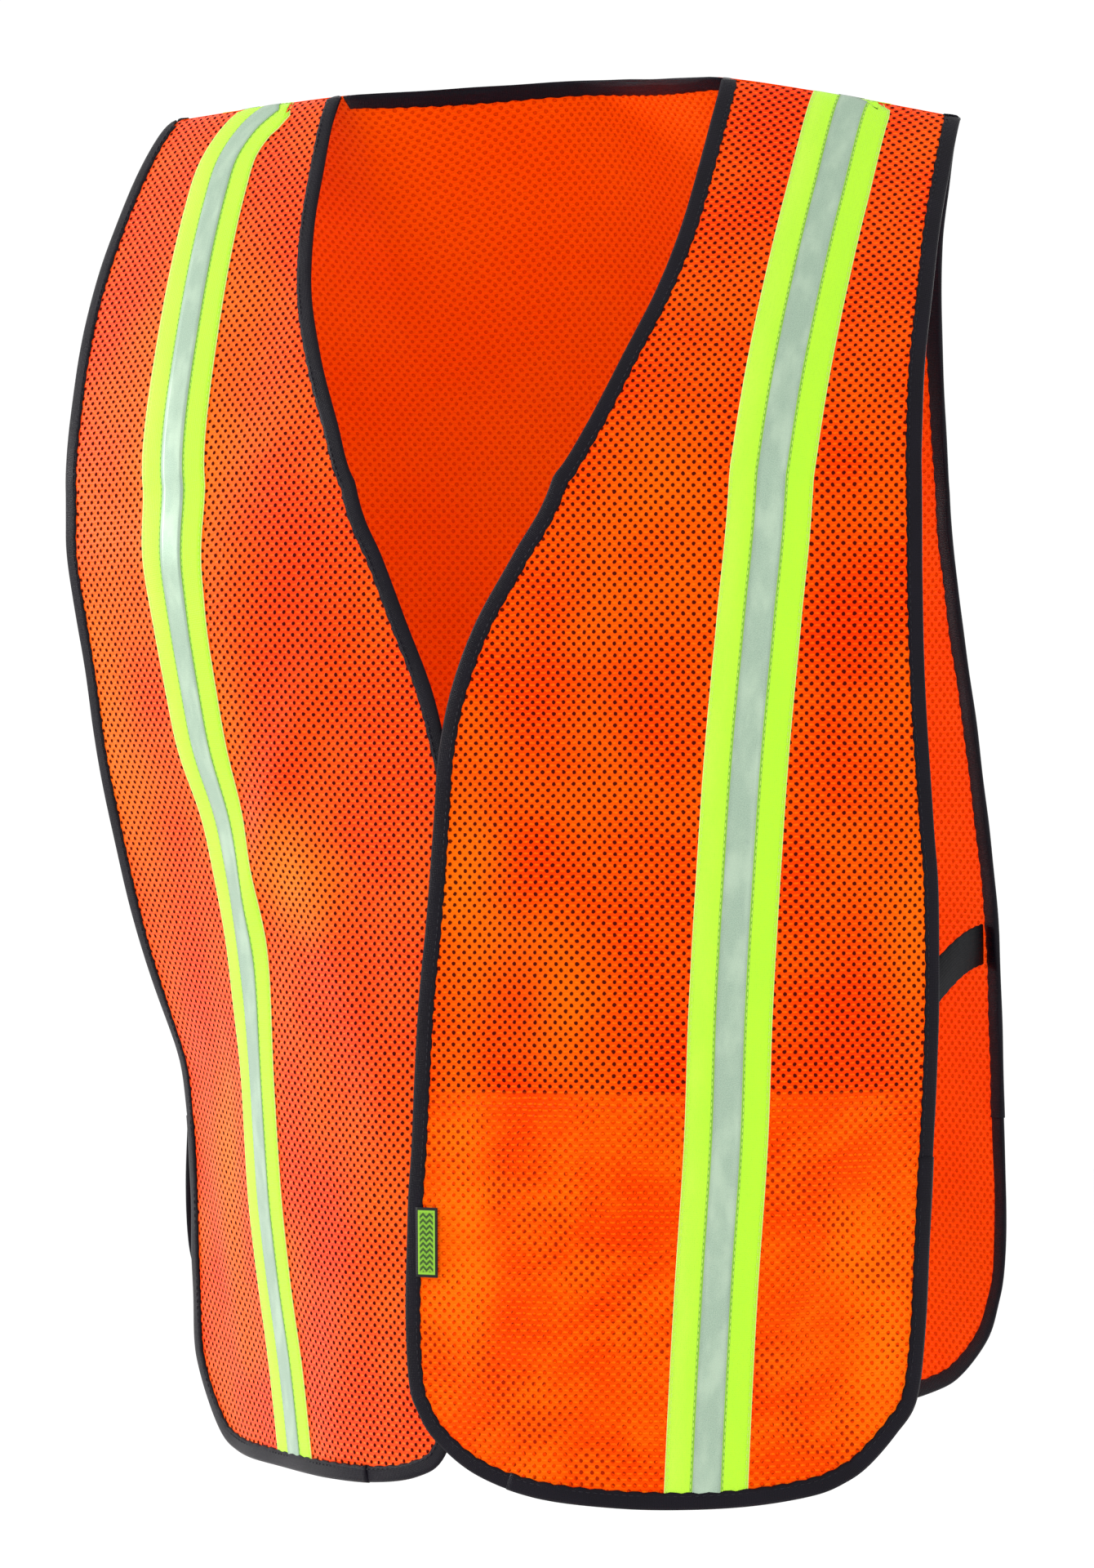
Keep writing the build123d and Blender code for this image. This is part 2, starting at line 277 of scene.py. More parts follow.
LEFT_EDGE = pattern(
    [(98, 0), (99, 0.15), (97.5, 0.34), (94, 0.49), (87, 0.61), (76, 0.73), (63.5, 0.87)],
    [(49, -190), (31, -222), (14, -251), (3, -280), (-3, -309), (-5, -338), (-8, -381), (-12, -425),
     (-15, -483), (-17, -512), (-18.5, -560), (-17, -590), (-13, -602), (-5, -614), (14, -628),
     (42, -637), (78, -640.5), (110, -641), (142, -639.5), (168, -636), (182, -631), (193, -624),
     (206, -611), (216, -597), (220, -570), (221.5, -530), (223, -483), (224, -425), (222.5, -370),
     (219.5, -338), (215, -280), (213.5, -235), (213, -194)],
    [(212, 0.87), (210, 0.72), (209, 0.58), (207.5, 0.44), (207, 0.25), (206, 0)])
RIGHT_EDGE = pattern(
    [(-101, 0), (-100.5, 0.1), (-100, 0.2), (-98, 0.31), (-95, 0.45), (-88, 0.58), (-75, 0.71),
     (-60, 0.85)],
    [(-48, -190), (-34, -222), (-22, -251), (-10, -280), (-2, -309), (4.5, -338), (7, -410),
     (8, -470), (8, -560), (6, -595), (-3, -622), (-18, -632), (-45, -637), (-80, -638.5),
     (-120, -639), (-160, -639), (-181, -637), (-195, -632), (-209, -619), (-219, -604), (-223.5, -588),
     (-223, -555), (-221, -500), (-224, -463), (-225.5, -401), (-224, -345), (-219, -300),
     (-217.5, -262), (-219.5, -216), (-219.5, -190)],
    [(-222, 0.82), (-225, 0.68), (-226, 0.55), (-223, 0.41), (-217, 0.24), (-211, 0.1), (-206, 0)])
BACK_HALF = pattern(
    [(205, 0), (203, 0.12), (197, 0.3), (190, 0.45), (185.5, 0.6), (183, 0.75), (182.5, 0.9)],
    [(184, -197), (189, -232), (194, -261), (200, -292), (205, -323), (210, -354), (214, -386),
     (216, -430), (217.5, -480), (219, -518), (217.5, -547), (213, -563), (205.5, -579), (189, -596),
     (173, -605), (140, -615), (100, -620), (60, -622), (30, -622.5)],
    [])
BACK_EDGE = BACK_HALF + [(0, level(-622.5))] + [(-s, u) for s, u in reversed(BACK_HALF)]


class Edge:
    """A cloth edge as an evenly spaced path in (s, u); the cloth lies on the given side of it."""

    def __init__(self, drape, points, cloth_side, step=2.4):
        self.drape = drape
        path = smooth_curve(points)
        solid = drape.at(path[:, 0], path[:, 1])
        length = np.concatenate([[0], np.cumsum(np.linalg.norm(np.diff(solid, axis=0), axis=1))])
        self.e = np.linspace(0, length[-1], int(length[-1] / step) + 1)
        self.s = np.interp(self.e, length, path[:, 0])
        self.u = np.interp(self.e, length, path[:, 1])
        self.cloth_side = cloth_side

    def inward(self, distance, first=0, last=None):
        """The path moved onto the cloth by a distance, in short steps because the cloth is curved."""
        s, u = self.s, self.u
        last = len(s) if last is None else last
        if np.ndim(distance):
            distance = np.pad(distance, (first, len(s) - last), mode="edge")
        for _ in range(6):
            run = np.stack([np.gradient(s), np.gradient(u)], -1)
            s, u = self.drape.shift(s, u, distance * self.cloth_side / 6, run)
        return s[first:last], u[first:last]

    def index(self, z, rising):
        """The step where the path passes height z, on its falling or its rising side."""
        u = level(z)
        low = int(np.argmax(self.u))
        if rising:
            return low + int(np.argmin(np.abs(self.u[low:] - u)))
        return int(np.argmin(np.abs(self.u[:low] - u)))


left_edge = Edge(left, LEFT_EDGE, 1)
right_edge = Edge(right, RIGHT_EDGE, -1)
back_edge = Edge(back, BACK_EDGE, 1)


# Meshes

def make_mesh(name, points, faces, uv=None):
    """An object from points in millimetres; uv is in millimetres of cloth, one per point."""
    mesh = bpy.data.meshes.new(name)
    mesh.from_pydata((np.asarray(points) * MM).tolist(), [], faces)
    if uv is not None:
        layer = mesh.uv_layers.new(name="cloth")
        corner = np.empty(len(mesh.loops), dtype=np.int32)
        mesh.loops.foreach_get("vertex_index", corner)
        layer.data.foreach_set("uv", np.asarray(uv, dtype=np.float32)[corner].ravel())
    mesh.polygons.foreach_set("use_smooth", np.ones(len(mesh.polygons), dtype=bool))
    mesh.update()
    piece = bpy.data.objects.new(name, mesh)
    bpy.context.scene.collection.objects.link(piece)
    return piece


def slab(name, drape, s, u, lifts, uv=None):
    """A thin closed sheet over a grid of (s, u), between two lifts."""
    rows, columns = s.shape
    outer = drape.at(s, u, np.broadcast_to(lifts[1], s.shape)).reshape(-1, 3)
    inner = drape.at(s, u, np.broadcast_to(lifts[0], s.shape)).reshape(-1, 3)
    if uv is None:
        uv = drape.uv(s, u)
    uv = uv.reshape(-1, 2)
    grid = np.arange(rows * columns).reshape(rows, columns)
    a, b, c, d = grid[:-1, :-1], grid[:-1, 1:], grid[1:, 1:], grid[1:, :-1]
    front = np.stack([a, b, c, d], -1).reshape(-1, 4)
    count = rows * columns
    rim = np.concatenate([grid[0], grid[1:, -1], grid[-1, -2::-1], grid[-2:0:-1, 0]])
    after = np.roll(rim, -1)
    sides = np.stack([rim, rim + count, after + count, after], -1)
    faces = np.vstack([front, front[:, ::-1] + count, sides])
    if (s[0, -1] > s[0, 0]) == (drape.facing > 0):
        faces = faces[:, ::-1]
    return make_mesh(name, np.vstack([outer, inner]), faces.tolist(), np.vstack([uv, uv]))


def between(edge, inset, first_u, last_u, columns, row_step):
    """A grid of (s, u) inside a front's edge, inset from it."""
    s, u = edge.inward(inset)
    low = int(np.argmax(u))
    levels = np.linspace(first_u, min(last_u, u[low] - 0.0005), int((last_u - first_u) / row_step))
    order_in, order_out = np.argsort(u[:low + 1]), np.argsort(u[low:])
    s_in = np.interp(levels, u[:low + 1][order_in], s[:low + 1][order_in])
    s_out = np.interp(levels, u[low:][order_out], s[low:][order_out])
    share = np.linspace(0, 1, columns)
    return s_in[:, None] + (s_out - s_in)[:, None] * share, np.repeat(levels[:, None], columns, 1)


def tube_faces(count, n):
    """The faces of a tube of count rings with n points each, with capped ends."""
    grid = np.arange(count * n).reshape(count, n)
    a, b = grid[:-1], np.roll(grid[:-1], -1, axis=1)
    c, d = np.roll(grid[1:], -1, axis=1), grid[1:]
    faces = np.stack([a, b, c, d], -1).reshape(-1, 4).tolist()
    return faces + [grid[0][::-1].tolist(), grid[-1].tolist()]


def profile_sweep(name, edge, profile, first, last, waver=0.25, seed=0):
    """A closed profile of (inward, lift) points carried along a stretch of edge, with capped ends."""
    count = last - first
    noise = np.random.default_rng(seed)
    drift = np.cumsum(noise.normal(0, 0.1, count))
    drift -= np.linspace(drift[0], drift[-1], count)
    drift = np.clip(drift * waver, -0.5, 0.5)
    e = edge.e[first:last]
    rings, uvs = [], []
    girth = 0
    previous = profile[-1]
    for inward, lift in profile:
        girth += math.hypot(inward - previous[0], lift - previous[1])
        previous = (inward, lift)
        scallop = 0.35 * np.sin(e * 2 * math.pi / 3.4) if inward > 6.5 else 0
        s, u = edge.inward(inward + drift * (inward > 0) + scallop, first, last)
        swell = 1 + 0.12 * np.sin(e / 7.3 + seed) * (abs(lift) > 0.7)
        rings.append(edge.drape.at(s, u, lift * swell))
        uvs.append(np.stack([np.full(count, girth), e], -1))
    points = np.stack(rings, 1).reshape(-1, 3)
    return make_mesh(name, points, tube_faces(count, len(profile)), np.stack(uvs, 1).reshape(-1, 2))


FOLDED_TAPE = [(6.8, 0.55), (6.4, 1.05), (4.8, 1.2), (2.6, 1.25), (0.7, 1.15), (-0.3, 0.75), (-0.6, 0),
               (-0.3, -0.75), (0.7, -1.15), (2.6, -1.25), (4.8, -1.2), (6.4, -1.05), (6.8, -0.55)]
LAPPED_TAPE = [(x * 1.04 + (-0.25 if x < 1 else 0), lift * LAP_THICKENING) for x, lift in FOLDED_TAPE]


def stitches(name, points, normals, pitch=3.2, length=2.2, width=0.42, height=0.28):
    """Short rounded threads laid end to end with gaps along a path."""
    points, normals = np.asarray(points), np.asarray(normals)
    run = np.concatenate([[0], np.cumsum(np.linalg.norm(np.diff(points, axis=0), axis=1))])
    middle = np.arange(pitch / 2, run[-1] - pitch / 2, pitch)
    spot = np.stack([np.interp(middle, run, points[:, k]) for k in range(3)], -1)
    ahead = np.stack([np.interp(middle + 0.5, run, points[:, k]) for k in range(3)], -1)
    n = np.stack([np.interp(middle, run, normals[:, k]) for k in range(3)], -1)
    t = ahead - spot
    t /= np.linalg.norm(t, axis=1, keepdims=True)
    side = np.cross(n, t)
    stations = [(-0.5, 0.25), (-0.25, 0.9), (0.25, 0.9), (0.5, 0.25)]
    ring = [(1, 0), (0, 1), (-1, 0), (0, -0.6)]
    shape = [(a, g * p, g * q) for a, g in stations for p, q in ring]
    all_points = np.concatenate([
        (spot + t * length * a + side * width * p + n * height * q)[:, None] for a, p, q in shape], 1)
    base = []
    for k in range(3):
        for m in range(4):
            nxt = (m + 1) % 4
            base.append([4 * k + m, 4 * k + 4 + m, 4 * k + 4 + nxt, 4 * k + nxt])
    base += [[0, 1, 2, 3], [15, 14, 13, 12]]
    faces = [[i + 16 * k for i in face] for k in range(len(spot)) for face in base]
    return make_mesh(name, all_points.reshape(-1, 3), faces)


# Materials

class Nodes:
    """A short way to write a node tree."""

    def __init__(self, name):
        self.material = bpy.data.materials.new(name)
        self.material.use_nodes = True
        self.tree = self.material.node_tree
        self.shader = self.tree.nodes["Principled BSDF"]

    def set(self, socket, value):
        if isinstance(value, bpy.types.NodeSocket):
            self.tree.links.new(value, socket)
        elif isinstance(value, tuple) and len(value) == 3 and len(socket.default_value) == 4:
            socket.default_value = (*value, 1)
        else:
            socket.default_value = value

    def make(self, kind, values, **settings):
        node = self.tree.nodes.new(kind)
        for key, value in settings.items():
            setattr(node, key, value)
        for key, value in values.items():
            self.set(node.inputs[key], value)
        return node

    def math(self, operation, a, b=0.0, c=0.0):
        values = dict(zip(range(3), (a, b, c)))
        return self.make("ShaderNodeMath", values, operation=operation).outputs[0]

    def ramp(self, value, low, high, to_low=0.0, to_high=1.0):
        """Smooth change from one level to another as value passes from low to high."""
        values = {0: value, 1: low, 2: high, 3: to_low, 4: to_high}
        node = self.make("ShaderNodeMapRange", values, interpolation_type="SMOOTHSTEP")
        return node.outputs[0]

    def blend(self, share, a, b, how="MIX"):
        node = self.make("ShaderNodeMix", {}, data_type="RGBA", blend_type=how)
        self.set(node.inputs[0], share)
        self.set(node.inputs[6], a)
        self.set(node.inputs[7], b)
        return node.outputs[2]

    def uv(self):
        """The two cloth coordinates in millimetres."""
        node = self.make("ShaderNodeUVMap", {}, uv_map="cloth")
        parts = self.make("ShaderNodeSeparateXYZ", {0: node.outputs[0]})
        return parts.outputs[0], parts.outputs[1]

    def vector(self, x, y, z=0.0):
        return self.make("ShaderNodeCombineXYZ", {0: x, 1: y, 2: z}).outputs[0]

    def noise(self, vector, scale, detail=2.0, roughness=0.5):
        values = {"Vector": vector, "Scale": scale, "Detail": detail, "Roughness": roughness}
        return self.make("ShaderNodeTexNoise", values).outputs["Fac"]

    def wave(self, value, period):
        """0 to 1 and back over each period."""
        turned = self.math("SINE", self.math("MULTIPLY", value, 2 * math.pi / period))
        return self.math("MULTIPLY_ADD", turned, 0.5, 0.5)

    def bump(self, height, distance, strength=1.0, under=None):
        values = {"Height": height, "Distance": distance, "Strength": strength}
        if under is not None:
            values["Normal"] = under
        return self.make("ShaderNodeBump", values).outputs[0]

    def surface(self, **values):
        for key, value in values.items():
            self.set(self.shader.inputs[key.replace("_", " ")], value)
        return self.material


HOLE_PITCH = 4.7
ROW_PITCH = 2.57


def lattice(n, x, y, size=1.0):
    """The knitted holes and the yarn between them: (hole, yarn), each from 0 to 1."""
    ax = n.math("PINGPONG", x, HOLE_PITCH / 2)
    ay = n.math("PINGPONG", y, ROW_PITCH)
    bx = n.math("SUBTRACT", HOLE_PITCH / 2, ax)
    by = n.math("SUBTRACT", ROW_PITCH, ay)

    def far(px, py, sx, sy):
        return n.math("SQRT", n.math("ADD", n.math("POWER", n.math("MULTIPLY", px, sx), 2.0),
                                     n.math("POWER", n.math("MULTIPLY", py, sy), 2.0)))

    spot = n.math("MINIMUM", far(ax, ay, 1.0, 0.95), far(bx, by, 1.0, 0.95))
    strand = n.math("MINIMUM", far(bx, ay, 0.55, 1.5), far(ax, by, 0.55, 1.5))
    hole = n.ramp(spot, 0.62 * size, 1.05 * size, 1.0, 0.0)
    return hole, n.ramp(strand, 0.25, 1.0, 1.0, 0.0)


def spots(n, s, v, places):
    """Soft ellipses on the cloth: (middle s, middle v, reach along s, reach along v, strength)."""
    total = 0.0
    for middle_s, middle_v, reach_s, reach_v, strength in places:
        across = n.math("DIVIDE", n.math("SUBTRACT", s, middle_s), reach_s)
        along = n.math("DIVIDE", n.math("SUBTRACT", v, middle_v), reach_v)
        far = n.math("SQRT", n.math("ADD", n.math("POWER", across, 2.0), n.math("POWER", along, 2.0)))
        total = n.math("ADD", n.ramp(far, 0.0, 1.0, strength, 0.0), total)
    return total


def mesh_material(name, base, light, shade_in_holes, shade_in_holes_share, highlight_places, shade_places, pocket_below=None,
                  painted_glow=0.06, gloss=0.12):
    """Knitted polyester mesh with painted highlights and painted shade: paler spots and yarn highlights are
    painted highlights, redder spots and dark holes are painted shade, and the emission is a painted glow.

    Below pocket_below the holes show a painted second layer, whose own holes are painted shade, and painted
    highlight streaks lie over the zone.
    """
    n = Nodes(name)
    s, v = n.uv()
    place = n.vector(s, v)
    drift_s = n.math("MULTIPLY_ADD", n.noise(place, 0.09, 1.0), 1.6, -0.8)
    drift_v = n.math("MULTIPLY_ADD", n.noise(n.vector(v, s, 40.0), 0.07, 1.0), 1.4, -0.7)
    jitter = n.math("MULTIPLY_ADD", n.noise(place, 0.7, 1.0), 0.7, -0.35)
    x = n.math("ADD", n.math("ADD", s, drift_s), jitter)
    y = n.math("ADD", n.math("ADD", v, drift_v), n.math("MULTIPLY", jitter, -0.6))
    hole, yarn = lattice(n, x, y)
    fibre = n.noise(n.vector(n.math("MULTIPLY", s, 0.35), v), 3.2, 3.0, 0.65)
    patch = n.noise(place, 0.018, 2.0)
    tone = n.blend(n.ramp(patch, 0.35, 0.7, 0.0, 0.3), base, light)
    # Paler spots are painted highlights and redder spots are painted shade, where light falls on the folds
    # and shade lies in them.
    tone = n.blend(spots(n, s, v, highlight_places), tone, light)
    painted_shade = spots(n, s, v, shade_places)
    tone = n.blend(painted_shade, tone, tuple(c * d for c, d in zip(base, (0.86, 0.5, 1.0))))
    # gleam is a painted highlight on the yarn, fainter in the painted shade.
    gleam = n.math("MULTIPLY", yarn, n.ramp(fibre, 0.3, 0.62))
    tone = n.blend(n.math("MULTIPLY", gleam, n.math("MULTIPLY_ADD", painted_shade, -0.5, 0.8)), tone, light)
    edge = n.ramp(fibre, 0.2, 0.5, 0.35, 0.0)
    tone = n.blend(edge, tone, tuple(c * 0.55 for c in base))
    # The holes are painted dark: painted shade of the inside seen through them.
    shaded_holes = n.math("MULTIPLY", hole, shade_in_holes_share)
    seen = shade_in_holes
    if pocket_below is not None:
        zone = n.ramp(v, pocket_below + 1.2, pocket_below - 1.2)
        shear = n.math("MULTIPLY_ADD", v, 0.035, n.math("MULTIPLY", s, 1.012))
        slip = n.math("MULTIPLY_ADD", s, -0.03, n.math("MULTIPLY", v, 0.985))
        wander = n.math("MULTIPLY_ADD", n.noise(place, 0.025, 1.0), 9.0, -4.5)
        hole2, yarn2 = lattice(n, n.math("ADD", shear, wander), n.math("ADD", slip, wander), 1.1)
        behind = n.blend(hole2, POCKET_YARN, SECOND_LAYER_SHADE_IN_HOLES)
        behind = n.blend(n.math("MULTIPLY", yarn2, 0.4), behind, light)
        seen = n.blend(zone, shade_in_holes, behind)
        # The pocket zone is painted a little paler, with pale diagonal streaks that are painted highlights
        # along its folds.
        fold_highlight = n.ramp(n.noise(n.vector(n.math("MULTIPLY_ADD", v, -0.5, s), v), 0.035, 3.0), 0.4, 0.7)
        painted_highlight = n.math("MULTIPLY", zone, n.math("MULTIPLY_ADD", fold_highlight, 0.3, 0.04))
        tone = n.blend(painted_highlight, tone, light)
    colour = n.blend(shaded_holes, tone, seen)
    height = n.math("SUBTRACT", n.math("MULTIPLY_ADD", yarn, 0.5, n.math("MULTIPLY", fibre, 0.4)),
                    n.math("MULTIPLY", hole, 1.2))
    normal = n.bump(height, 0.00045, 0.9)
    shine = n.ramp(fibre, 0.3, 0.7, 0.52, 0.26)
    # The emission is a painted glow standing in for the fluorescent brightness.
    return n.surface(
        Base_Color=colour, Roughness=n.math("MAXIMUM", shine, n.math("MULTIPLY", hole, 0.9)),
        Specular_IOR_Level=n.math("MULTIPLY_ADD", shaded_holes, -gloss, gloss), Normal=normal,
        Specular_Tint=(1.0, 0.5, 0.09),
        Emission_Color=colour, Emission_Strength=painted_glow)


def woven_material(name, colour, rib, period, roughness, specular=0.5, across=True, sheen=0.3,
                   variation=0.35):
    """A close woven ribbon with ribs across or along it."""
    n = Nodes(name)
    x, y = n.uv()
    place = n.vector(x, y)
    ribs = n.wave(n.math("ADD", y if across else x, n.math("MULTIPLY", n.noise(place, 0.5), 0.4)), period)
    cross = n.wave(x if across else y, period * 0.8)
    grain = n.noise(place, 1.6, 3.0, 0.7)
    slow = n.noise(place, 0.045, 2.0)
    tone = n.blend(n.math("MULTIPLY", ribs, 0.5), colour, rib)
    tone = n.blend(n.ramp(grain, 0.35, 0.75, 0.0, variation), tone, rib)
    tone = n.blend(n.ramp(slow, 0.35, 0.65, 0.0, variation), tone, tuple(c * 0.6 for c in colour))
    height = n.math("MULTIPLY_ADD", n.math("MULTIPLY", ribs, cross), 0.8, n.math("MULTIPLY", grain, 0.5))
    return n.surface(
        Base_Color=tone, Roughness=n.ramp(grain, 0.3, 0.7, roughness + 0.12, roughness),
        Specular_IOR_Level=specular, Normal=n.bump(height, 0.0002, 0.8),
        Sheen_Weight=sheen, Sheen_Roughness=0.35)


def lime_material():
    n = Nodes("lime_tape")
    x, y = n.uv()
    place = n.vector(x, y)
    ribs = n.wave(n.math("ADD", y, n.math("MULTIPLY", n.noise(place, 0.4), 0.5)), 0.95)
    along = n.wave(x, 0.8)
    grain = n.noise(n.vector(x, n.math("MULTIPLY", y, 0.25)), 1.3, 3.0, 0.6)
    slow = n.noise(n.vector(x, n.math("MULTIPLY", y, 0.3)), 0.09, 2.0)
    # One half of the tape is painted paler: a painted highlight.
    painted_highlight = n.ramp(x, -2.0, -19.0)
    tone = n.blend(n.math("MULTIPLY", painted_highlight, 0.6), (0.47, 0.88, 0.02), (0.62, 0.92, 0.08))
    tone = n.blend(n.ramp(slow, 0.35, 0.7, 0.0, 0.4), tone, (0.42, 0.86, 0.02))
    tone = n.blend(n.ramp(grain, 0.3, 0.75, 0.0, 0.3), tone, (0.38, 0.76, 0.02))
    rim = n.ramp(n.math("ABSOLUTE", x), 17.9, 18.5)
    tone = n.blend(n.math("MULTIPLY", rim, 0.75), tone, (0.93, 0.95, 0.36))
    line = n.ramp(n.math("ABSOLUTE", n.math("SUBTRACT", n.math("ABSOLUTE", x), 6.9)), 0.25, 0.7, 0.75, 0.0)
    tone = n.blend(line, tone, (0.10, 0.30, 0.03))
    height = n.math("MULTIPLY_ADD", n.math("MULTIPLY", ribs, along), 0.8, n.math("MULTIPLY", grain, 0.5))
    # The emission is a painted glow standing in for the fluorescent brightness.
    return n.surface(
        Base_Color=tone, Roughness=n.ramp(grain, 0.3, 0.7, 0.62, 0.48), Specular_IOR_Level=0.35,
        Normal=n.bump(height, 0.00022, 0.8), Sheen_Weight=0.15, Sheen_Roughness=0.4,
        Emission_Color=tone, Emission_Strength=0.06)


def silver_material():
    n = Nodes("silver_reflective")
    x, y = n.uv()
    place = n.vector(x, y)
    beads = n.noise(place, 2.6, 2.0, 0.8)
    soft = n.noise(n.vector(x, n.math("MULTIPLY", y, 0.45)), 0.09, 3.0)
    scuff = n.noise(n.vector(n.math("MULTIPLY", x, 0.6), y), 0.35, 4.0, 0.7)
    tone = n.blend(n.ramp(beads, 0.3, 0.7), (0.25, 0.37, 0.27), (0.42, 0.55, 0.43))
    tone = n.blend(n.ramp(soft, 0.4, 0.7, 0.0, 0.5), tone, (0.52, 0.66, 0.5))
    tone = n.blend(n.ramp(scuff, 0.55, 0.8, 0.0, 0.35), tone, (0.24, 0.33, 0.28))
    edge = n.ramp(n.math("ABSOLUTE", x), 5.6, 6.5, 0.0, 0.55)
    tone = n.blend(edge, tone, (0.42, 0.62, 0.24))
    height = n.math("MULTIPLY_ADD", beads, 0.5, n.math("MULTIPLY", scuff, 0.5))
    return n.surface(
        Base_Color=tone, Metallic=0.25, Roughness=n.ramp(beads, 0.3, 0.7, 0.5, 0.36),
        Specular_IOR_Level=0.5, Normal=n.bump(height, 0.00012, 0.7))


def tag_material():
    n = Nodes("green_tag")
    x, y = n.uv()
    rim_x = n.ramp(n.math("ABSOLUTE", x), 4.0, 4.2)
    rim_y = n.ramp(n.math("ABSOLUTE", y), 14.1, 14.4)
    ribs = n.wave(y, 0.55)
    grain = n.noise(n.vector(x, y), 1.5, 3.0, 0.7)
    zigzag = n.math("ADD", y, n.math("PINGPONG", x, 1.6))
    weave = n.math("MULTIPLY", n.ramp(n.wave(zigzag, 2.6), 0.35, 0.7), n.ramp(grain, 0.3, 0.55, 0.5, 1.0))
    tone = n.blend(weave, (0.012, 0.045, 0.004), (0.22, 0.50, 0.02))
    tone = n.blend(n.math("MULTIPLY", ribs, 0.2), tone, (0.20, 0.42, 0.03))
    line_x = n.ramp(n.math("ABSOLUTE", x), 3.1, 3.4)
    line_y = n.ramp(n.math("ABSOLUTE", y), 13.1, 13.4)
    tone = n.blend(n.math("MAXIMUM", line_x, line_y), tone, (0.26, 0.56, 0.03))
    tone = n.blend(n.math("MAXIMUM", rim_x, rim_y), tone, (0.004, 0.005, 0.004))
    return n.surface(Base_Color=tone, Roughness=0.55, Specular_IOR_Level=0.35,
                     Normal=n.bump(n.math("MULTIPLY_ADD", ribs, 0.6, grain), 0.00015, 0.8))


ORANGE = (0.96, 0.036, 0.0)
PALE_ORANGE = (1.0, 0.20, 0.002)
# Colours in the holes are painted shade of the inside seen through them; the pocket's second layer has its
# holes in painted shade as well.
FRONT_SHADE_IN_HOLES = (0.035, 0.002, 0.003)
BACK_ORANGE, BACK_PALE_ORANGE, BACK_SHADE_IN_HOLES = (1.0, 0.068, 0.0), (1.0, 0.11, 0.001), (0.62, 0.022, 0.0)
POCKET_SHADE_IN_HOLES, POCKET_YARN, SECOND_LAYER_SHADE_IN_HOLES = (0.16, 0.01, 0.003), (0.86, 0.04, 0.0), (0.34, 0.012, 0.002)
# Spots of painted highlight and painted shade on each panel: (middle s, middle v, reach along s, reach
# along v, strength).
FRONT_HIGHLIGHT_SPOTS = [(8, -175, 34, 80, 0.55), (52, -225, 42, 55, 0.5), (200, -390, 45, 90, 0.5),
              (110, -20, 40, 120, 0.3), (10, -330, 22, 130, 0.5), (215, -180, 26, 160, 0.35),
              (75, -90, 30, 70, 0.25)]
FRONT_SHADE_SPOTS = [(88, -95, 40, 50, 0.5), (178, -60, 36, 90, 0.5), (35, -235, 26, 45, 0.6),
             (175, -250, 34, 60, 0.4), (110, -330, 60, 40, 0.5), (160, -380, 50, 45, 0.5),
             (60, -420, 40, 40, 0.4)]
SIDE_HIGHLIGHT_SPOTS = [(-150, 20, 60, 150, 0.6), (-205, -120, 40, 160, 0.5), (-88, -180, 40, 45, 0.8),
             (-168, -330, 28, 120, 0.6), (-120, -110, 30, 60, 0.4)]
SIDE_SHADE_SPOTS = [(-75, -70, 45, 120, 0.6), (-45, -230, 30, 70, 0.5), (-70, -350, 40, 80, 0.5),
            (-185, -260, 30, 60, 0.4)]
BACK_HIGHLIGHT_SPOTS = [(-20, -5, 90, 110, 0.5)]
BACK_SHADE_SPOTS = [(0, -130, 120, 90, 0.5)]
orange_front = mesh_material("orange_mesh_front", ORANGE, PALE_ORANGE, FRONT_SHADE_IN_HOLES, 0.95, FRONT_HIGHLIGHT_SPOTS,
                             FRONT_SHADE_SPOTS, pocket_below=POCKET_V)
orange_side = mesh_material("orange_mesh_right", ORANGE, PALE_ORANGE, FRONT_SHADE_IN_HOLES, 0.96, SIDE_HIGHLIGHT_SPOTS, SIDE_SHADE_SPOTS,
                            gloss=0.36)
orange_back = mesh_material("orange_mesh_back", BACK_ORANGE, BACK_PALE_ORANGE, BACK_SHADE_IN_HOLES, 0.62,
                            BACK_HIGHLIGHT_SPOTS, BACK_SHADE_SPOTS, gloss=0.05)
orange_pocket = mesh_material("orange_mesh_pocket", ORANGE, PALE_ORANGE, POCKET_SHADE_IN_HOLES, 0.9, [], [])
black_binding = woven_material("black_binding", (0.003, 0.002, 0.005), (0.009, 0.007, 0.015), 0.75, 0.25,
                               0.12, sheen=0)
black_thread = woven_material("black_thread", (0.004, 0.004, 0.007), (0.016, 0.015, 0.024), 0.8, 0.4, 0.2,
                              sheen=0)
lime_thread = woven_material("lime_thread", (0.45, 0.85, 0.03), (0.75, 1.0, 0.2), 0.8, 0.5, 0.4)
orange_thread = woven_material("orange_thread", (1.0, 0.05, 0.001), (1.0, 0.11, 0.003), 0.8, 0.6, 0.1,
                               sheen=0)
elastic_weave = woven_material("black_elastic", (0.002, 0.002, 0.003), (0.007, 0.007, 0.010), 1.5, 0.5,
                               0.05, across=False, sheen=0)
napped = woven_material("hook_and_loop", (0.012, 0.012, 0.014), (0.05, 0.05, 0.055), 0.6, 0.85, 0.15,
                        variation=0.7)
lime_tape = lime_material()
silver_film = silver_material()
tag_weave = tag_material()


def dress(piece, material, slot_name, *nodes):
    piece.data.materials.append(material)
    if nodes:
        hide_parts(*nodes)
    return piece


# Bindings: ribbons folded round each edge, one lapped over the next at each splice

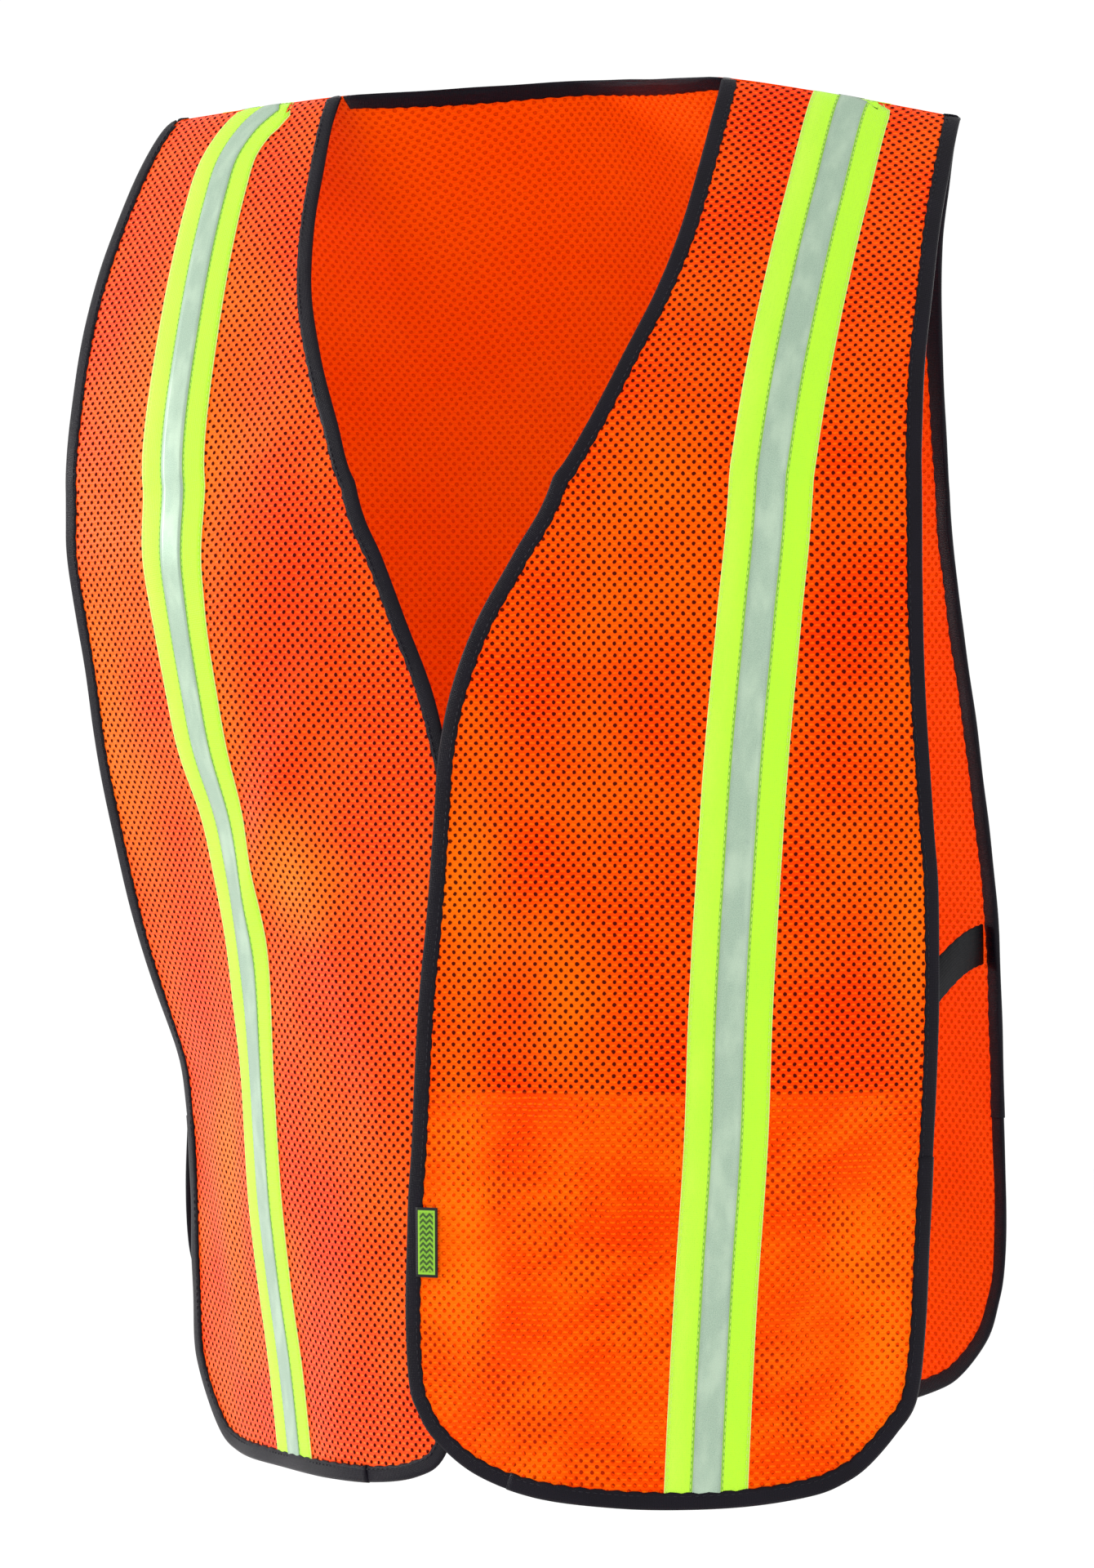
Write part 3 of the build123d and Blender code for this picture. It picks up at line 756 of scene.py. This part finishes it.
def binding(name, edge, first, last, node, lapped=False, seed=0):
    profile = LAPPED_TAPE if lapped else FOLDED_TAPE
    piece = profile_sweep(name, edge, profile, first, last, seed=seed)
    dress(piece, black_binding, "black_binding", *([node] if node else []))
    row_s, row_u = edge.inward(BINDING_SEAM, first, last)
    outer = edge.drape.at(row_s, row_u, BINDING_LIFT * (LAP_THICKENING if lapped else 1))
    normal = edge.drape.read(edge.drape.normal, row_s, row_u)
    seam = stitches(name + "_stitches", outer, normal)
    dress(seam, black_thread, "black_binding")
    return [piece, seam]


LAP = 4  # steps along the edge by which one ribbon reaches over the next
LEFT_SPLICE_Z, RIGHT_SPLICE_Z, BACK_SPLICE_Z = -496, -489, -470
LEFT_HEM_SPLICE_S, RIGHT_HEM_SPLICE_S = 38, 60
NECK_LINE = [(s, 0) for s in (99, 85, 60, 30, 0, -30, -60, -85, -99)]


def front_bindings(side, edge, splice_z, hem_splice_s):
    """The neck, front edge and hem ribbons, and the armhole ribbon lapped over them at the side."""
    splice = edge.index(splice_z, rising=True)
    low = int(np.argmax(edge.u))
    hem = int(np.argmin(np.abs(np.abs(edge.s[:low]) - hem_splice_s) + 9 * (edge.u[:low] < 1.9)))
    node = f"{side}_front_binding"
    pieces = binding(node, edge, 0, hem + LAP, node, seed=1)
    pieces += binding(f"{side}_front_hem_binding", edge, hem - LAP, splice + LAP, None, lapped=True, seed=2)
    node = f"{side}_front_armhole_binding"
    pieces += binding(node, edge, splice - LAP, len(edge.e), node, seed=3)
    return pieces


left_bindings = front_bindings("left", left_edge, LEFT_SPLICE_Z, LEFT_HEM_SPLICE_S)
right_bindings = front_bindings("right", right_edge, RIGHT_SPLICE_Z, RIGHT_HEM_SPLICE_S)

neck_edge = Edge(back, NECK_LINE, -1)
splice_left = back_edge.index(BACK_SPLICE_Z, rising=False)
splice_right = back_edge.index(BACK_SPLICE_Z, rising=True)
back_pieces = binding("back_neck_binding", neck_edge, 0, len(neck_edge.e), "back_neck_binding", seed=4)
back_pieces += binding("back_hem_binding", back_edge, splice_left - LAP, splice_right + LAP,
                       "back_hem_binding", seed=5)
back_pieces += binding("left_back_armhole_binding", back_edge, 0, splice_left + LAP,
                       "left_back_armhole_binding", lapped=True, seed=6)
back_pieces += binding("right_back_armhole_binding", back_edge, splice_right - LAP, len(back_edge.e),
                       "right_back_armhole_binding", lapped=True, seed=7)

# Panels

grid = between(left_edge, PANEL_INSET, 0, 2.05, PANEL_COLUMNS, ROW_STEP)
left_panel = dress(slab("left_front_panel", left, *grid, MESH_LIFTS), orange_front, "orange_mesh",
                   "left_front_panel")
grid = between(right_edge, PANEL_INSET, 0, 2.05, PANEL_COLUMNS, ROW_STEP)
right_panel = dress(slab("right_front_panel", right, *grid, MESH_LIFTS), orange_side, "orange_mesh",
                    "right_front_panel")
grid = between(back_edge, PANEL_INSET, 0, 2.05, BACK_COLUMNS, ROW_STEP)
back_panel = dress(slab("back_panel", back, *grid, MESH_LIFTS), orange_back, "orange_mesh", "back_panel")
grid = between(left_edge, POCKET_INSET, level(POCKET_Z), 2.05, PANEL_COLUMNS, ROW_STEP)
pocket = dress(slab("pocket_panel", left, *grid, POCKET_LIFTS), orange_pocket, "orange_mesh",
               "pocket_panel")


def band(name, path, half, lifts, columns):
    """A ribbon laid along a path on the cloth, with its own crosswise and lengthwise coordinates."""
    offsets = np.linspace(-half, half, columns)
    lines = [path.inward(offset) for offset in offsets]
    s = np.stack([line[0] for line in lines], 1)
    u = np.maximum(np.stack([line[1] for line in lines], 1), 0)
    uv = np.stack([np.broadcast_to(offsets, s.shape), np.broadcast_to(path.e[:, None], s.shape)], -1)
    return slab(name, path.drape, s, u, lifts, uv)


def row_of_stitches(name, drape, s, u, lift, **sizes):
    points = drape.at(s, u, lift)
    return stitches(name, points, drape.read(drape.normal, s, u), **sizes)


# Pocket mouth: the mesh folded over and stitched
u = np.array([level(POCKET_Z + 1), level(POCKET_Z - 3.5), level(POCKET_Z - 9.5)])
lowest = int(np.argmax(left_edge.u))
mouth_s = np.interp(u, left_edge.u[:lowest], left_edge.s[:lowest])
steps = np.linspace(0, 1, 90)
mouth_s = (mouth_s + 5)[:, None] + (216 - mouth_s)[:, None] * steps
pocket_hem = slab("pocket_mouth_hem", left, mouth_s, np.repeat(u[:, None], 90, 1), POCKET_HEM_LIFTS)
dress(pocket_hem, orange_pocket, "orange_mesh")
line = np.linspace(-8, 215, 150)
pocket_seam = row_of_stitches("pocket_mouth_stitches", left, line,
                              np.full(150, level(POCKET_Z - 8.3)), 0.36)
dress(pocket_seam, orange_thread, "orange_mesh")

# Stripes: lime tape with a silver strip on its middle


FRONT_LEFT_LINE = [(159, 0), (157, 0.32), (155, 0.47), (151, 0.73), (147, 1.0), (141.5, 1.14), (136, 1.27),
                   (132, 1.4), (129, 1.52), (127, 1.65), (123, 1.78), (120, 1.9), (118, 1.994)]
FRONT_RIGHT_LINE = [(-138, 0), (-143, 0.08), (-152, 0.17), (-159, 0.27), (-159.5, 0.37), (-158, 0.5),
                    (-154, 0.7), (-150, 0.95), (-146.5, 1.07), (-143, 1.14), (-138, 1.25), (-134.5, 1.33),
                    (-130, 1.42), (-127.5, 1.5), (-127, 1.6), (-126, 1.72), (-124, 1.83), (-118, 1.91),
                    (-113, 1.99)]
BACK_LINE = [(157, 0), (152, 0.4), (146, 0.8), (143, 1.0), (135, 1.25), (128, 1.5), (122, 1.75),
             (118, 1.932)]


def stripe(where, drape, points):
    path = Edge(drape, points, 1, 3.0)
    name = f"{where}_tape"
    tape = band(name, path, TAPE_WIDTH / 2, TAPE_LIFTS, 13)
    dress(tape, lime_tape, "lime_tape", name)
    node = f"{where}_reflective"
    film = band(node, path, SILVER_WIDTH / 2, SILVER_LIFTS, 7)
    dress(film, silver_film, "silver_reflective", node)
    pieces = [tape, film]
    for k, offset in enumerate(STITCH_LINES):
        s, u = path.inward(offset)
        seam = row_of_stitches(f"{where}_stitches_{k}", drape, s, np.maximum(u, 0), 0.93,
                               pitch=3.0, length=2.3, width=0.3, height=0.22)
        pieces.append(dress(seam, lime_thread, "lime_tape"))
    return pieces


left_stripe = stripe("left_front", left, FRONT_LEFT_LINE)
right_stripe = stripe("right_front", right, FRONT_RIGHT_LINE)
back_pieces += stripe("left_back", back, BACK_LINE)
back_pieces += stripe("right_back", back, [(-s, u) for s, u in BACK_LINE])


# Shoulder seams: a narrow felled seam behind each crest
def shoulder_seam(name, side):
    s = side * np.linspace(96, 203, 50)
    u = np.array([0.0, 0.012, 0.03])
    grid_s, grid_u = np.repeat(s[None], 3, 0), np.repeat(u[:, None], 50, 1)
    fell = slab(name, back, grid_s, grid_u, (0.3, 0.75))
    dress(fell, orange_back, "orange_mesh")
    seam = row_of_stitches(name + "_stitches", back, s, np.full(50, 0.022), 0.74)
    dress(seam, orange_thread, "orange_mesh")
    return [fell, seam]


back_pieces += shoulder_seam("left_shoulder_seam", 1) + shoulder_seam("right_shoulder_seam", -1)

# Tag, closure patches and elastics


def rectangle(name, drape, s_range, z_range, lifts, columns=9, rows=21):
    s = np.repeat(np.linspace(*s_range, columns)[None], rows, 0)
    u = np.repeat(np.linspace(level(z_range[0]), level(z_range[1]), rows)[:, None], columns, 1)
    uv = np.stack([s - sum(s_range) / 2, (u - u.mean()) * (CHEST_Z - HEM_Z)], -1)
    return slab(name, drape, s, u, lifts, uv)


tag = dress(rectangle("edge_tag", left, (-13, -2.5), (-511, -542), TAG_LIFTS), tag_weave, "green_tag",
            "edge_tag")


def patches(name, drape, lifts):
    parts = [rectangle(f"{name}_{k}", drape, (-1.2, 5.5), (top, top - PATCH_HEIGHT), lifts)
             for k, top in enumerate((-372, -418))]
    for part in parts:
        dress(part, napped, "hook_and_loop", name)
    return parts


hooks = patches("left_hook_patches", left, (-2.2, -1.4))
loops = patches("right_loop_patches", right, (1.4, 2.2))


ELASTIC_STEPS = 40
ELASTIC_BOW, ELASTIC_RISE = 3.0, 7.0
ELASTIC_REAR, ELASTIC_FORE = (207, -397, -2.6), (214, -424, -4.2)  # distance s, height z, lift
ELASTIC_RING = [(-9, 0.6), (-4.5, 0.75), (0, 0.7), (4.5, 0.75), (9, 0.6), (9.4, 0), (9, -0.6), (0, -0.7),
                (-9, -0.6), (-9.4, 0)]


def elastic_end(drape, side, place):
    s, z, lift = place
    return drape.at(np.array([side * s]), np.array([level(z)]), np.array([lift]))[0]


def elastic(name, front, side):
    """A ribbed band from inside the back edge to inside the front edge, bowed a little outwards and up."""
    t = np.linspace(0, 1, ELASTIC_STEPS)
    rear = elastic_end(back, side, ELASTIC_REAR)
    fore = elastic_end(front, side, ELASTIC_FORE)
    line = rear + (fore - rear) * t[:, None]
    line[:, 0] += side * ELASTIC_BOW * np.sin(math.pi * t)
    line[:, 2] += ELASTIC_RISE * np.sin(math.pi * t)
    ahead = np.gradient(line, axis=0)
    ahead /= np.linalg.norm(ahead, axis=1, keepdims=True)
    up = np.array([0, 0, 1.0]) - ahead * ahead[:, 2:]
    up /= np.linalg.norm(up, axis=1, keepdims=True)
    out = np.cross(ahead, up)
    puck = 1 + 0.02 * np.sin(t * 60)
    points = np.stack([line + up * a * puck[:, None] + out * b for a, b in ELASTIC_RING], 1).reshape(-1, 3)
    run = t * np.linalg.norm(fore - rear)
    uv = np.stack([np.stack([np.full(len(t), a), run], -1) for a, b in ELASTIC_RING], 1).reshape(-1, 2)
    faces = tube_faces(len(t), len(ELASTIC_RING))
    return dress(make_mesh(name, points, faces, uv), elastic_weave, "black_elastic", name)


left_elastic = elastic("left_side_elastic", left, 1)
right_elastic = elastic("right_side_elastic", right, -1)

# What each piece moves with

for piece in back_pieces + [back_panel]:
    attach(piece, "back")
for piece in left_bindings + left_stripe + [left_panel]:
    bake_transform(piece)
for piece in right_bindings + right_stripe + [right_panel]:
    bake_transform(piece)
for piece in hooks + [pocket, pocket_hem, pocket_seam, tag]:
    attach(piece, "left_front")
for piece in loops:
    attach(piece, "right_front")
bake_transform(left_elastic)
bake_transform(right_elastic)


# Stage, lights and camera


def plain_material(name, colour, roughness):
    n = Nodes(name)
    return n.surface(Base_Color=colour, Roughness=roughness, Specular_IOR_Level=0.2)


FLOOR_Z, FLOOR_REACH = -950, 6000
corners = [(x * FLOOR_REACH, y * FLOOR_REACH, FLOOR_Z) for x, y in ((-1, -1), (1, -1), (1, 1), (-1, 1))]
floor = make_mesh("floor", corners, [[0, 1, 2, 3]])
floor.data.materials.append(plain_material("floor_paper", (0.98, 0.98, 0.98), 0.9))

world = bpy.data.worlds.new("studio")
bpy.context.scene.world = world
world.use_nodes = True
background = world.node_tree.nodes["Background"]
background.inputs["Color"].default_value = (1, 1, 1, 1)
background.inputs["Strength"].default_value = 1.04


def softbox(name, position, target, size, power):
    lamp = bpy.data.lights.new(name, "AREA")
    lamp.shape = "DISK"
    lamp.size = size
    lamp.energy = power
    light = bpy.data.objects.new(name, lamp)
    light.location = position
    light.rotation_euler = (Vector(target) - Vector(position)).to_track_quat("-Z", "Y").to_euler()
    bpy.context.scene.collection.objects.link(light)


softbox("key", (-2.4, -0.4, 0.4), (-0.1, 0, -0.35), 0.6, 32)
softbox("fill", (1.8, -2.6, 0.4), (0, 0, -0.3), 1.6, 8)

AZIMUTH = math.radians(20)
DISTANCE = 2.4
ASIDE, TARGET_Z = 0.0076, -0.323
camera_data = bpy.data.cameras.new("camera")
camera_data.sensor_width = 36
camera_data.lens = 118.8
camera = bpy.data.objects.new("camera", camera_data)
target = Vector((ASIDE * math.cos(AZIMUTH), ASIDE * math.sin(AZIMUTH), TARGET_Z))
camera.location = target + DISTANCE * Vector((math.sin(AZIMUTH), -math.cos(AZIMUTH), 0))
camera.rotation_euler = (target - camera.location).to_track_quat("-Z", "Y").to_euler()
bpy.context.scene.collection.objects.link(camera)
bpy.context.scene.camera = camera
bpy.context.scene.view_settings.view_transform = "Standard"
